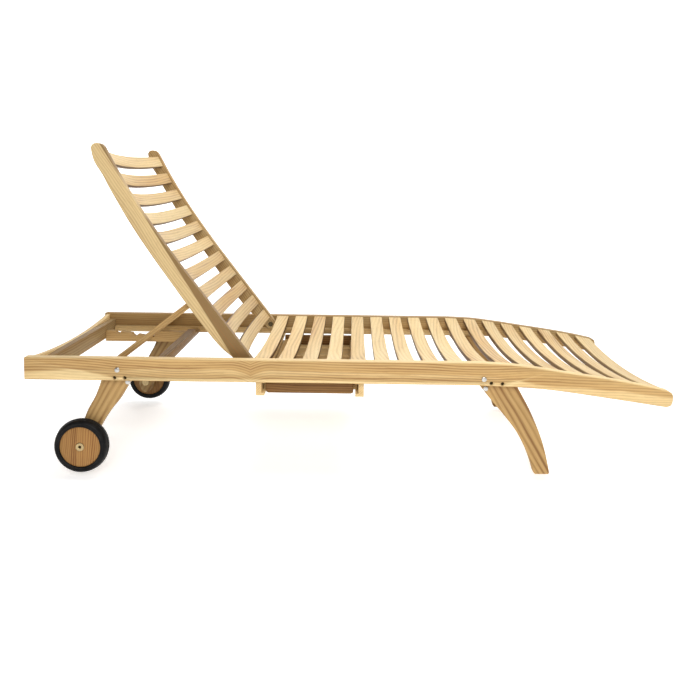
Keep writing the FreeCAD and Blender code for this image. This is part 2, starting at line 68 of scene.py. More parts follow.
STILE_FRONT = [(-0.530, 0.644), (-0.5925, 0.7304), (-0.6552, 0.8223), (-0.7122, 0.9153), (-0.764, 1.011)]
STILE_TOP = [(-0.764, 1.011), (-0.7722, 1.0184), (-0.784, 1.0215), (-0.7965, 1.0185), (-0.804, 1.008)]
STILE_BACK = [(-0.804, 1.008), (-0.794, 0.966), (-0.768, 0.923), (-0.744, 0.877), (-0.684, 0.773),
              (-0.622, 0.679), (-0.560, 0.592), (-0.498, 0.506), (-0.435, 0.424), (-0.398, 0.382),
              (-0.366, 0.355), (-0.3314, 0.3222)]
RACK_SEAT = [(-0.795, 0.2945), (-0.786, 0.2913), (-0.766, 0.2913), (-0.7642, 0.2922), (-0.7635, 0.294)]
RACK_LIPS = [(-0.916, 0.313), (-0.894, 0.312), (-0.851, 0.3044), (-0.829, 0.3005)]
RACK_NOTCHES = [(-0.905, 0.303), (-0.840, 0.2935)]
DOWELS = [(-0.720, 0.299), (-0.688, 0.299), (0.441, 0.2975), (0.475, 0.296)]
RAIL_CAPS = [(-0.711, 0.324), (0.418, 0.310)]
LEG_CAPS = [(-0.688, 0.278), (0.429, 0.272)]
PIVOT = (-0.316, 0.334)
PROP_PIVOT = (-0.4927, 0.5261)
AXLE = (-0.8247, 0.084)
SIDES = {"near": -1, "far": 1}

# Faces of the parts across the frame, as distances from the middle.
RAIL_FACE = 0.340
LEG_FACE = 0.312
WHEEL_MIDDLE = 0.336

# Slats: how many, where the first one lies, and how far apart they are.
SEAT_SLATS = 17
SEAT_SLAT_START = -0.272
SEAT_SLAT_PITCH = 0.07575
SEAT_SLAT_WIDTH = 0.048
END_SLAT_WIDTH = 0.064
BACK_SLATS = 11
BACK_SLAT_START = 0.0447
BACK_SLAT_PITCH = 0.0734
BACK_SLAT_WIDTH = 0.044
BACK_SLAT_HALF = 0.266


class LoungerSizes(bpy.types.PropertyGroup):
    edge_round: bpy.props.FloatProperty(
        name="Edge rounding", description="Radius of the sanded edges", default=0.003, unit="LENGTH")
    slat_sag: bpy.props.FloatProperty(
        name="Slat hollow", description="How deep the slats are scooped", default=0.020, unit="LENGTH")
    slat_thickness: bpy.props.FloatProperty(
        name="Slat thickness", description="Thickness of a slat", default=0.016, unit="LENGTH")


class LoungerColours(bpy.types.PropertyGroup):
    sapwood: bpy.props.FloatVectorProperty(
        name="Sapwood", description="Pale outer wood", subtype="COLOR", size=3, default=(0.84, 0.635, 0.325))
    heartwood: bpy.props.FloatVectorProperty(
        name="Heartwood", description="Tan inner wood", subtype="COLOR", size=3, default=(0.60, 0.385, 0.155))
    grain_line: bpy.props.FloatVectorProperty(
        name="Grain lines", description="Dark lines of the grain", subtype="COLOR", size=3,
        default=(0.30, 0.155, 0.058))
    rubber: bpy.props.FloatVectorProperty(
        name="Rubber", description="Tyre rubber", subtype="COLOR", size=3, default=(0.0035, 0.0035, 0.0038))
    hub_metal: bpy.props.FloatVectorProperty(
        name="Hub metal", description="Brass of the hub", subtype="COLOR", size=3, default=(0.55, 0.42, 0.22))
    bolt_metal: bpy.props.FloatVectorProperty(
        name="Bolt metal", description="Stainless steel of the bolts", subtype="COLOR", size=3,
        default=(0.62, 0.61, 0.58))


# ---- modelling steps ---------------------------------------------------------------------------

def deselect():
    """Leave edit mode and drop every selection."""
    if bpy.context.object and bpy.context.object.mode != "OBJECT":
        bpy.ops.object.mode_set(mode="OBJECT")
    bpy.ops.object.select_all(action="DESELECT")


def choose(obj):
    """Make one object the only selected and active one."""
    deselect()
    obj.select_set(True)
    bpy.context.view_layer.objects.active = obj


def piece_name(words):
    """Name of a shown piece, apart from the CAD node it stands for."""
    return "shown_" + words.replace(" ", "_")


def first_vertex(name, point):
    """New object in edit mode that holds a single vertex."""
    deselect()
    bpy.ops.mesh.primitive_plane_add(size=0.001, location=point)
    obj = bpy.context.object
    obj.name = piece_name(name)
    bpy.ops.object.transform_apply(location=True, rotation=True, scale=True)
    bpy.ops.object.mode_set(mode="EDIT")
    bpy.ops.mesh.select_all(action="SELECT")
    bpy.ops.mesh.merge(type="CENTER")
    return obj


def trace(name, points):
    """Draw an open outline by extruding one vertex from point to point."""
    obj = first_vertex(name, points[0])
    for start, end in zip(points, points[1:]):
        step = Vector(end) - Vector(start)
        bpy.ops.mesh.extrude_vertices_move(TRANSFORM_OT_translate={"value": step})
    return obj


def close_and_fill():
    bpy.ops.mesh.select_all(action="SELECT")
    bpy.ops.mesh.edge_face_add()


def face_outwards():
    bpy.ops.mesh.select_all(action="SELECT")
    bpy.ops.mesh.remove_doubles(threshold=0.00001)
    bpy.ops.mesh.normals_make_consistent(inside=False)
    bpy.ops.object.mode_set(mode="OBJECT")


def extruded(name, points, depth):
    """Solid with that outline, extruded by the depth vector."""
    obj = trace(name, points)
    close_and_fill()
    bpy.ops.mesh.extrude_region_move(TRANSFORM_OT_translate={"value": depth})
    face_outwards()
    return obj


def apply_modifiers(obj):
    choose(obj)
    for modifier in list(obj.modifiers):
        bpy.ops.object.modifier_apply(modifier=modifier.name)


def round_over(obj, width, segments=3, angle=25):
    """Sand the sharp edges round and shade the piece smooth."""
    modifier = obj.modifiers.new("Round over", "BEVEL")
    modifier.width = width
    modifier.segments = segments
    modifier.limit_method = "ANGLE"
    modifier.angle_limit = math.radians(angle)
    modifier.use_clamp_overlap = True
    apply_modifiers(obj)
    bpy.ops.object.shade_smooth_by_angle(angle=math.radians(35))
    return obj


def spun(name, profile, centre, steps, closed):
    """Turned piece: an outline spun right round a line across the frame."""
    obj = trace(name, profile)
    if closed:
        bpy.ops.mesh.select_all(action="DESELECT")
        bpy.ops.object.mode_set(mode="OBJECT")
        last = len(obj.data.vertices) - 1
        obj.data.vertices[0].select = True
        obj.data.vertices[last].select = True
        bpy.ops.object.mode_set(mode="EDIT")
        bpy.ops.mesh.edge_face_add()
    bpy.ops.mesh.select_all(action="SELECT")
    bpy.ops.mesh.spin(steps=steps, angle=2 * math.pi, center=centre, axis=(0, 1, 0), use_auto_merge=True)
    face_outwards()
    bpy.ops.object.shade_smooth_by_angle(angle=math.radians(32))
    return obj


def drill(obj, centres, radius, low, high):
    """Cut round holes along Y."""
    for x, z in centres:
        deselect()
        bpy.ops.mesh.primitive_cylinder_add(
            vertices=40, radius=radius, depth=high - low, location=(x, (low + high) / 2, z),
            rotation=(math.pi / 2, 0, 0))
        tool = bpy.context.object
        bpy.ops.object.transform_apply(location=True, rotation=True, scale=True)
        modifier = obj.modifiers.new("Hole", "BOOLEAN")
        modifier.object = tool
        modifier.operation = "DIFFERENCE"
        modifier.solver = "EXACT"
        apply_modifiers(obj)
        choose(tool)
        bpy.ops.object.delete()
    choose(obj)


def copied(source, name, matrix):
    """Copy with its own mesh, moved by a matrix that is then applied."""
    choose(source)
    bpy.ops.object.duplicate(linked=False)
    obj = bpy.context.object
    obj.name = piece_name(name)
    obj.matrix_world = matrix
    bpy.ops.object.transform_apply(location=True, rotation=True, scale=True)
    if matrix.determinant() < 0:
        bpy.ops.object.mode_set(mode="EDIT")
        bpy.ops.mesh.select_all(action="SELECT")
        bpy.ops.mesh.normals_make_consistent(inside=False)
        bpy.ops.object.mode_set(mode="OBJECT")
    return obj


def joined(objects, name):
    choose(objects[0])
    for obj in objects[1:]:
        obj.select_set(True)
    if len(objects) > 1:
        bpy.ops.object.join()
    objects[0].name = piece_name(name)
    return objects[0]


def mirrored(obj, name):
    return copied(obj, name, Matrix.Diagonal((1, -1, 1, 1)))


def finish_piece(obj, node, body, material):
    """Give the piece its material and its place in the moving model."""
    if material:
        obj.data.materials.clear()
        obj.data.materials.append(material)
    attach(obj, body)
    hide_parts(node)


def smooth(points, steps=5):
    """More points along a smooth curve through the given ones."""
    result = []
    for index in range(len(points) - 1):
        before = Vector(points[max(index - 1, 0)])
        start = Vector(points[index])
        end = Vector(points[index + 1])
        after = Vector(points[min(index + 2, len(points) - 1)])
        for step in range(steps):
            t = step / steps
            point = 0.5 * (2 * start + (end - before) * t + (2 * before - 5 * start + 4 * end - after) * t * t
                           + (3 * start - before - 3 * end + after) * t ** 3)
            result.append((point.x, point.y))
    result.append(points[-1])
    return result


def upright(points, y):
    """Side view points put into space at one y."""
    return [(x, y, z) for x, z in points]


def without_repeats(points):
    result = [points[0]]
    for point in points[1:]:
        if (Vector(point) - Vector(result[-1])).length > 0.0002:
            result.append(point)
    return result


# ---- materials ---------------------------------------------------------------------------------

def new_material(name):
    material = bpy.data.materials.new(name)
    material.use_nodes = True
    material.node_tree.nodes.clear()
    return material, material.node_tree


def add(tree, kind, inputs=None, **settings):
    """Add a node, set its fields, and set or link its inputs."""
    node = tree.nodes.new(kind)
    for name, value in settings.items():
        setattr(node, name, value)
    for name, value in (inputs or {}).items():
        if isinstance(value, bpy.types.NodeSocket):
            tree.links.new(value, node.inputs[name])
        else:
            node.inputs[name].default_value = value
    return node


def ramp(tree, factor, stops):
    node = add(tree, "ShaderNodeValToRGB", {"Fac": factor})
    elements = node.color_ramp.elements
    elements[0].position, elements[0].color = stops[0][0], (*stops[0][1], 1)
    elements[1].position, elements[1].color = stops[-1][0], (*stops[-1][1], 1)
    for position, colour in stops[1:-1]:
        elements.new(position).color = (*colour, 1)
    return node.outputs["Color"]


def scaled(tree, vector, scale):
    return add(tree, "ShaderNodeMapping", {"Vector": vector, "Scale": scale}).outputs["Vector"]


def blended(tree, factor, first, second, mode="MIX"):
    node = add(tree, "ShaderNodeMix", data_type="RGBA", blend_type=mode)
    for index, value in ((0, factor), (6, first), (7, second)):
        if isinstance(value, bpy.types.NodeSocket):
            tree.links.new(value, node.inputs[index])
        else:
            node.inputs[index].default_value = value if index == 0 else (*value, 1)
    return node.outputs[2]


def maths(tree, operation, first, second=0.0, clamp=False):
    node = add(tree, "ShaderNodeMath", operation=operation, use_clamp=clamp)
    for index, value in enumerate((first, second)):
        if isinstance(value, bpy.types.NodeSocket):
            tree.links.new(value, node.inputs[index])
        else:
            node.inputs[index].default_value = value
    return node.outputs[0]


def tint(colour, factor):
    return tuple(channel * factor for channel in colour)


def warmed(colour, factor):
    return (colour[0], colour[1] * factor, colour[2] * factor * factor)


def share_of_tan(tree, aligned, flame, chance, streaks, heart, band):
    """How much of a board is tan heartwood, from 0 to 1; with a band's top flag set, up-facing faces turn
    pale as a painted highlight.
    """
    if not band:
        share = maths(tree, "ADD", maths(tree, "MULTIPLY", flame, 2.6), maths(tree, "MULTIPLY", chance, 0.5))
        return maths(tree, "ADD", share, heart - 1.55, clamp=True)
    level, softness, upper, lean, start = band
    parts = add(tree, "ShaderNodeSeparateXYZ", {"Vector": aligned}).outputs
    run = maths(tree, "MAXIMUM", maths(tree, "SUBTRACT", parts["X"], start), 0.0)
    height = maths(tree, "ADD", parts["Z"], maths(tree, "MULTIPLY", run, lean))
    wave = add(tree, "ShaderNodeTexNoise",
               {"Vector": scaled(tree, aligned, (2.6, 0.5, 1.0)), "Scale": 1.0, "Detail": 3.0}).outputs["Fac"]
    edge = maths(tree, "ADD", maths(tree, "SUBTRACT", height, level),
                 maths(tree, "MULTIPLY", maths(tree, "SUBTRACT", wave, 0.5), 0.055 if upper else 0.012))
    side = maths(tree, "DIVIDE", edge, softness)
    share = maths(tree, "ADD", side, maths(tree, "MULTIPLY", streaks, 0.6))
    share = maths(tree, "ADD", share, 0.35, clamp=True)
    share = maths(tree, "MAXIMUM", share, maths(tree, "MULTIPLY", flame, 0.45))
    # Painted highlight: faces that point up turn pale, standing in for light from above on the top face.
    facing = add(tree, "ShaderNodeTexCoord").outputs["Normal"]
    up = add(tree, "ShaderNodeSeparateXYZ", {"Vector": facing}).outputs["Z"]
    painted_top_light = maths(tree, "MULTIPLY", up, 0.9 if upper else 0.0)
    return maths(tree, "SUBTRACT", share, painted_top_light, clamp=True)


def knot_dip(tree, aligned, knot):
    """Lines of the grain bend down round a knot at (x, width, depth)."""
    centre, width, depth = knot
    along = add(tree, "ShaderNodeSeparateXYZ", {"Vector": aligned}).outputs["X"]
    away = maths(tree, "ABSOLUTE", maths(tree, "SUBTRACT", along, centre))
    near = maths(tree, "SUBTRACT", 1.0, maths(tree, "DIVIDE", away, width), clamp=True)
    drop = maths(tree, "MULTIPLY", maths(tree, "MULTIPLY", near, near), depth)
    shift = add(tree, "ShaderNodeCombineXYZ", {"Z": drop}).outputs[0]
    return add(tree, "ShaderNodeVectorMath", {0: aligned, 1: shift}, operation="ADD").outputs[0]


def teak(name, turn, heart=0.5, tone=1.0, band=None, lines=1.0, knot=None, ring_width=0.008,
         tan_tone=1.0, face=None, warm=1.0):
    """Oiled teak.

    turn brings the grain onto X, and heart is the share of tan wood. band = (height, softness, painted
    top light, lean, start) splits a board into tan heartwood above and pale sapwood below, with the line
    leaning from start on. knot = (x, width, depth). tan_tone darkens the heartwood alone. Faces that turn
    away from the face direction are darkened with painted shade. warm below 1 takes green and blue out.
    """
    colours = bpy.context.scene.lounger_colours
    pale = warmed(tint(colours.sapwood, tone), warm)
    tan = warmed(tint(colours.heartwood, tone * tan_tone), warm)
    dark = warmed(tint(colours.grain_line, tone), warm)
    material, tree = new_material(name)
    place = add(tree, "ShaderNodeTexCoord").outputs["Object"]
    chance = add(tree, "ShaderNodeObjectInfo").outputs["Random"]
    aligned = add(tree, "ShaderNodeMapping", {"Vector": place, "Rotation": turn}).outputs["Vector"]
    if knot:
        aligned = knot_dip(tree, aligned, knot)
    shift = add(tree, "ShaderNodeCombineXYZ", {"X": maths(tree, "MULTIPLY", chance, 7.0),
                                               "Y": maths(tree, "MULTIPLY", chance, 3.1),
                                               "Z": maths(tree, "MULTIPLY", chance, 5.3)}).outputs[0]
    grain = add(tree, "ShaderNodeVectorMath", {0: aligned, 1: shift}, operation="ADD").outputs[0]
    bend = add(tree, "ShaderNodeTexNoise",
               {"Vector": scaled(tree, grain, (2.2, 7, 7)), "Scale": 1.0, "Detail": 2.0,
                "Roughness": 0.45}).outputs["Color"]
    bend = add(tree, "ShaderNodeVectorMath", {0: bend, 1: (0.5, 0.5, 0.5)},
               operation="SUBTRACT").outputs[0]
    bend = add(tree, "ShaderNodeVectorMath", {0: bend, 1: (0.0, 0.030, 0.030)},
               operation="MULTIPLY").outputs[0]
    curved = add(tree, "ShaderNodeVectorMath", {0: grain, 1: bend}, operation="ADD").outputs[0]
    streaks = add(tree, "ShaderNodeTexNoise",
                  {"Vector": scaled(tree, curved, (1.1, 55, 55)), "Scale": 1.0, "Detail": 5.0,
                   "Roughness": 0.62}).outputs["Fac"]
    rings = add(tree, "ShaderNodeTexWave",
                {"Vector": scaled(tree, curved, (0.012, 1, 1)), "Scale": 0.628 / ring_width,
                 "Distortion": 1.6, "Detail": 2.0, "Detail Scale": 0.6, "Detail Roughness": 0.6},
                wave_type="BANDS", bands_direction="DIAGONAL").outputs["Fac"]
    flame = add(tree, "ShaderNodeTexNoise",
                {"Vector": scaled(tree, curved, (1.4, 16, 16)), "Scale": 1.0, "Detail": 2.0,
                 "Roughness": 0.5}).outputs["Fac"]
    pores = add(tree, "ShaderNodeTexNoise",
                {"Vector": scaled(tree, curved, (22, 640, 640)), "Scale": 1.0, "Detail": 2.0,
                 "Roughness": 0.6}).outputs["Fac"]
    share = share_of_tan(tree, aligned, flame, chance, streaks, heart, band)
    base = blended(tree, share, pale, tan)
    line = maths(tree, "ADD", maths(tree, "MULTIPLY", rings, 0.40), maths(tree, "MULTIPLY", streaks, 1.00))
    line_mask = ramp(tree, line, [(0.40, (1, 1, 1)), (0.60, (0.36, 0.36, 0.36)), (0.86, (0, 0, 0))])
    strength = maths(tree, "MULTIPLY", maths(tree, "ADD", maths(tree, "MULTIPLY", share, 0.50), 0.24), lines)
    lined = blended(tree, maths(tree, "MULTIPLY", line_mask, strength), base, dark)
    pore_mask = ramp(tree, pores, [(0.56, (0, 0, 0)), (0.70, (1, 1, 1))])
    colour = blended(tree, maths(tree, "MULTIPLY", pore_mask, 0.30), lined, tint(dark, 0.8))
    bright = ramp(tree, flame, [(0.25, (0.84, 0.84, 0.84)), (0.75, (1.08, 1.08, 1.08))])
    colour = blended(tree, 1.0, colour, bright, "MULTIPLY")
    # Painted shade: faces that turn away from the face direction are darkened, standing in for shade on side
    # faces and undersides.
    if face:
        facing = add(tree, "ShaderNodeTexCoord").outputs["Normal"]
        square = add(tree, "ShaderNodeVectorMath", {0: facing, 1: face},
                     operation="DOT_PRODUCT").outputs["Value"]
        painted_side_shade = ramp(tree, maths(tree, "ABSOLUTE", square), [(0.15, (0.27, 0.21, 0.15)), (0.80, (1, 1, 1))])
        colour = blended(tree, 1.0, colour, painted_side_shade, "MULTIPLY")
    rough = ramp(tree, streaks, [(0.2, (0.46, 0.46, 0.46)), (0.8, (0.64, 0.64, 0.64))])
    relief = maths(tree, "SUBTRACT", maths(tree, "MULTIPLY", line, 0.25),
                   maths(tree, "MULTIPLY", pore_mask, 0.5))
    bump = add(tree, "ShaderNodeBump",
               {"Height": relief, "Strength": 0.25, "Distance": 0.0006}).outputs["Normal"]
    shader = add(tree, "ShaderNodeBsdfPrincipled",
                 {"Base Color": colour, "Roughness": rough, "Normal": bump, "Metallic": 0.0, "IOR": 1.42,
                  "Specular IOR Level": 0.22})
    output = add(tree, "ShaderNodeOutputMaterial")
    tree.links.new(shader.outputs[0], output.inputs[0])
    return material


def metal(name, colour, roughness):
    """Turned metal with faint rings and fingerprints."""
    material, tree = new_material(name)
    place = add(tree, "ShaderNodeTexCoord").outputs["Object"]
    smudge = add(tree, "ShaderNodeTexNoise", {"Vector": place, "Scale": 130.0, "Detail": 4.0}).outputs["Fac"]
    scratch = add(tree, "ShaderNodeTexNoise",
                  {"Vector": scaled(tree, place, (900, 60, 900)), "Scale": 1.0, "Detail": 2.0}).outputs["Fac"]
    shade = ramp(tree, smudge, [(0.3, tint(colour, 0.72)), (0.7, tint(colour, 1.1))])
    rough = ramp(tree, smudge, [(0.3, (roughness,) * 3), (0.75, (roughness + 0.18,) * 3)])
    bump = add(tree, "ShaderNodeBump",
               {"Height": scratch, "Strength": 0.12, "Distance": 0.0002}).outputs["Normal"]
    shader = add(tree, "ShaderNodeBsdfPrincipled",
                 {"Base Color": shade, "Roughness": rough, "Normal": bump, "Metallic": 1.0})
    output = add(tree, "ShaderNodeOutputMaterial")
    tree.links.new(shader.outputs[0], output.inputs[0])
    return material


def rubber(name, colour):
    """Black rubber, dusty on the tread."""
    material, tree = new_material(name)
    place = add(tree, "ShaderNodeTexCoord").outputs["Object"]
    dust = add(tree, "ShaderNodeTexNoise", {"Vector": place, "Scale": 26.0, "Detail": 6.0,
                                            "Roughness": 0.7}).outputs["Fac"]
    pits = add(tree, "ShaderNodeTexNoise", {"Vector": place, "Scale": 700.0, "Detail": 2.0}).outputs["Fac"]
    shade = ramp(tree, dust, [(0.45, colour), (0.85, (0.022, 0.021, 0.020))])
    rough = ramp(tree, dust, [(0.35, (0.36, 0.36, 0.36)), (0.75, (0.60, 0.60, 0.60))])
    bump = add(tree, "ShaderNodeBump",
               {"Height": pits, "Strength": 0.18, "Distance": 0.0003}).outputs["Normal"]
    shader = add(tree, "ShaderNodeBsdfPrincipled",
                 {"Base Color": shade, "Roughness": rough, "Normal": bump, "Metallic": 0.0,
                  "Specular IOR Level": 0.14})
    output = add(tree, "ShaderNodeOutputMaterial")
    tree.links.new(shader.outputs[0], output.inputs[0])
    return material


ALONG_X = (0.0, 0.0, 0.0)
ALONG_Y = (0.0, 0.0, -math.pi / 2)


def tilted(degrees):
    """Turn that brings a grain rising by that angle in the side view onto X."""
    return (0.0, math.radians(degrees), 0.0)


# ---- frame -------------------------------------------------------------------------------------

class LOUNGER_OT_side_rails(bpy.types.Operator):
    """Long curved side rails with drilled holes, and the ledgers inside them"""
    bl_idname = "lounger.side_rails"
    bl_label = "Side rails"

    def execute(self, context):
        sizes = context.scene.lounger_sizes
        low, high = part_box("side_rail_near")
        outline = [(low[0], 0.290), (low[0], 0.360)] + smooth(RAIL_TOP) + smooth(RAIL_NOSE)[1:]
        outline += smooth(RAIL_BOTTOM)[1:]
        near = extruded("near side rail", upright(outline, low[1]), (0, high[1] - low[1], 0))
        round_over(near, sizes.edge_round * 1.2, 4)
        drill(near, DOWELS, 0.006, low[1] - 0.01, low[1] + 0.014)
        far = mirrored(near, "far side rail")
        # The near rail's band has its top flag set, which paints a highlight on the rail's top face.
        finish_piece(near, "side_rail_near", "frame",
                     teak("Rail wood near", ALONG_X, band=(0.324, 0.009, True, 0.12, 0.45),
                          knot=(-0.30, 0.07, 0.016), tan_tone=0.95, lines=1.25))
        # The far rail's lower tone is painted shade.
        finish_piece(far, "side_rail_far", "frame", teak("Rail wood far", ALONG_X, heart=1.05, tone=0.66))
        ledger = teak("Ledger wood", ALONG_X, heart=0.8, tone=0.74)
        for side in SIDES:
            low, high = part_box("ledger_" + side)
            outline = [(low[0], low[2]), (low[0], high[2]), (high[0], high[2]), (high[0], low[2])]
            piece = extruded(side + " ledger", upright(outline, low[1]), (0, high[1] - low[1], 0))
            round_over(piece, 0.0015, 2)
            finish_piece(piece, "ledger_" + side, "frame", ledger)
        return {"FINISHED"}


def scooped_profile(half, sag, thickness, steps=14):
    """Closed outline of a hollowed board, as (y, z) with its top ends at zero."""
    top = []
    for step in range(-steps, steps + 1):
        y = half * step / steps
        top.append((y, -sag * (1 - (y / half) ** 2)))
    return top + [(y, z - thickness) for y, z in reversed(top)]


def scooped_board(name, half, width, sizes):
    points = [(-width / 2, y, z) for y, z in scooped_profile(half, sizes.slat_sag, sizes.slat_thickness)]
    board = extruded(name, points, (width, 0, 0))
    return round_over(board, sizes.edge_round, 3)


def rail_point(x):
    """Height and slope of the rail's top edge at x."""
    path = smooth(RAIL_TOP)
    if x <= path[0][0]:
        return path[0][1], 0.0
    for start, end in zip(path, path[1:]):
        if start[0] <= x <= end[0]:
            slope = (end[1] - start[1]) / (end[0] - start[0])
            return start[1] + slope * (x - start[0]), math.atan(slope)
    return path[-1][1], math.atan(-0.2)


class LOUNGER_OT_seat_slats(bpy.types.Operator):
    """Seventeen scooped slats between the side rails"""
    bl_idname = "lounger.seat_slats"
    bl_label = "Seat slats"

    def execute(self, context):
        sizes = context.scene.lounger_sizes
        # face paints shade on the slats' side faces, which turn away from the top.
        material = teak("Seat slat wood", ALONG_Y, heart=0.34, tone=0.92, lines=1.1, ring_width=0.013,
                        face=(0.0, 0.0, 1.0))
        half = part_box("side_rail_far")[0][1]
        master = scooped_board("seat slat", half, SEAT_SLAT_WIDTH, sizes)
        wide = scooped_board("seat end slat", half, END_SLAT_WIDTH, sizes)
        for index in range(SEAT_SLATS):
            last = index == SEAT_SLATS - 1
            x = SEAT_SLAT_START + SEAT_SLAT_PITCH * index + (0.008 if last else 0)
            height, slope = rail_point(x)
            matrix = Matrix.Translation((x, 0, height - 0.002)) @ Matrix.Rotation(-slope, 4, "Y")
            piece = copied(wide if last else master, "seat slat %02d" % (index + 1), matrix)
            finish_piece(piece, "seat_slat_%02d" % (index + 1), "frame", material)
        for piece in (master, wide):
            choose(piece)
            bpy.ops.object.delete()
        return {"FINISHED"}


class LOUNGER_OT_head_boards(bpy.types.Operator):
    """Straight head rail and the scooped head board outside it"""
    bl_idname = "lounger.head_boards"
    bl_label = "Head boards"

    def execute(self, context):
        sizes = context.scene.lounger_sizes
        low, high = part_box("head_rail")
        points = [(low[0], low[1], low[2]), (low[0], low[1], high[2]),
                  (low[0], high[1], high[2]), (low[0], high[1], low[2])]
        rail = extruded("head rail", points, (high[0] - low[0], 0, 0))
        round_over(rail, 0.002, 3)
        finish_piece(rail, "head_rail", "frame", teak("Head rail wood", ALONG_Y, heart=1.1, tone=0.56))
        low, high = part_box("head_slat")
        hollow = scooped_profile(high[1], sizes.slat_sag, sizes.slat_thickness)
        top = [(low[0], y, high[2] + z) for y, z in hollow[:len(hollow) // 2]]
        points = top + [(low[0], high[1], low[2]), (low[0], low[1], low[2])]
        board = extruded("head board", points, (high[0] - low[0], 0, 0))
        round_over(board, 0.003, 3)
        finish_piece(board, "head_slat", "frame", teak("Head board wood", ALONG_Y, heart=0.25, tone=1.02))
        return {"FINISHED"}


def notch(lip, bottom, far_lip, steps=8):
    """Round-bottomed notch between two lips, left to right."""
    result = []
    for step in range(1, steps):
        t = step / steps
        x = lip[0] + (far_lip[0] - lip[0]) * t
        edge = lip[1] + (far_lip[1] - lip[1]) * t
        depth = (lip[1] + far_lip[1]) / 2 - bottom[1]
        result.append((x, edge - depth * math.sqrt(max(0.0, 1 - (2 * t - 1) ** 2))))
    return result


class LOUNGER_OT_rack(bpy.types.Operator):
    """Notched racks for the prop, and the brace behind them"""
    bl_idname = "lounger.rack"
    bl_label = "Rack and brace"

    def execute(self, context):
        low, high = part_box("prop_rack_near")
        top = high[2]
        points = [(low[0], low[2]), (low[0], top), RACK_LIPS[0]]
        points += notch(RACK_LIPS[0], RACK_NOTCHES[0], RACK_LIPS[1]) + RACK_LIPS[1:3]
        points += notch(RACK_LIPS[2], RACK_NOTCHES[1], RACK_LIPS[3]) + [RACK_LIPS[3]] + RACK_SEAT
        points += [(RACK_SEAT[-1][0], top), (high[0], top), (high[0], low[2])]
        near = extruded("near rack", upright(points, low[1]), (0, high[1] - low[1], 0))
        round_over(near, 0.0012, 2)
        far = mirrored(near, "far rack")
        wood = teak("Rack wood", ALONG_X, heart=0.9, tone=0.72)
        finish_piece(near, "prop_rack_near", "frame", wood)
        finish_piece(far, "prop_rack_far", "frame", wood)
        low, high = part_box("cross_brace")
        shoulder = 0.303
        raised = 0.232
        outline = [(low[1], low[2]), (high[1], low[2]), (high[1], shoulder), (raised, shoulder),
                   (raised, high[2]), (-raised, high[2]), (-raised, shoulder), (low[1], shoulder)]
        brace = extruded("cross brace", [(low[0], y, z) for y, z in outline], (high[0] - low[0], 0, 0))
        round_over(brace, 0.0015, 2)
        finish_piece(brace, "cross_brace", "frame",
                     teak("Brace wood", ALONG_Y, heart=1.2, tone=0.42, warm=0.94))
        return {"FINISHED"}


class LOUNGER_OT_legs(bpy.types.Operator):
    """Wheel legs and sabre-shaped foot legs"""
    bl_idname = "lounger.legs"
    bl_label = "Legs"

    def execute(self, context):
        sizes = context.scene.lounger_sizes
        shapes = {
            "wheel_leg": (smooth(WHEEL_LEG_FRONT + WHEEL_LEG_BACK, 4), tilted(61), 0.77),
            "foot_leg": (smooth(FOOT_LEG_FRONT[:-1]) + smooth([FOOT_LEG_FRONT[-1]] + FOOT_LEG_BACK[:1], 1)
                         + smooth(FOOT_LEG_BACK[1:]), tilted(-58), 0.87),
        }
        for kind, (outline, turn, tone) in shapes.items():
            low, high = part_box(kind + "_near")
            points = upright(without_repeats(outline), low[1])
            near = extruded("near " + kind, points, (0, high[1] - low[1], 0))
            if kind == "wheel_leg":
                drill(near, [AXLE], 0.007, low[1] - 0.01, high[1] + 0.01)
            round_over(near, sizes.edge_round * 0.7, 3, 40)
            far = mirrored(near, "far " + kind)
            name = kind.replace("_", " ").capitalize()
            finish_piece(near, kind + "_near", "frame",
                         teak(name + " wood near", turn, heart=1.05, tone=tone, lines=1.5,
                              ring_width=0.018))
            # The far legs get 0.68 of the near tone as painted shade.
            finish_piece(far, kind + "_far", "frame",
                         teak(name + " wood far", turn, heart=1.15, tone=0.68 * tone, lines=1.5,
                              ring_width=0.018))
        return {"FINISHED"}


def turned_profile(centre, points, side):
    """Outline of (radius, distance from the middle) pairs, put at a centre on one side."""
    return [(centre[0] + radius, side * y, centre[1]) for radius, y in points]


def turned(name, centre, points, side, steps, closed=True):
    """Turned piece round a line across the frame, on one side."""
    return spun(name, turned_profile(centre, points, side), (centre[0], 0, centre[1]), steps, closed)


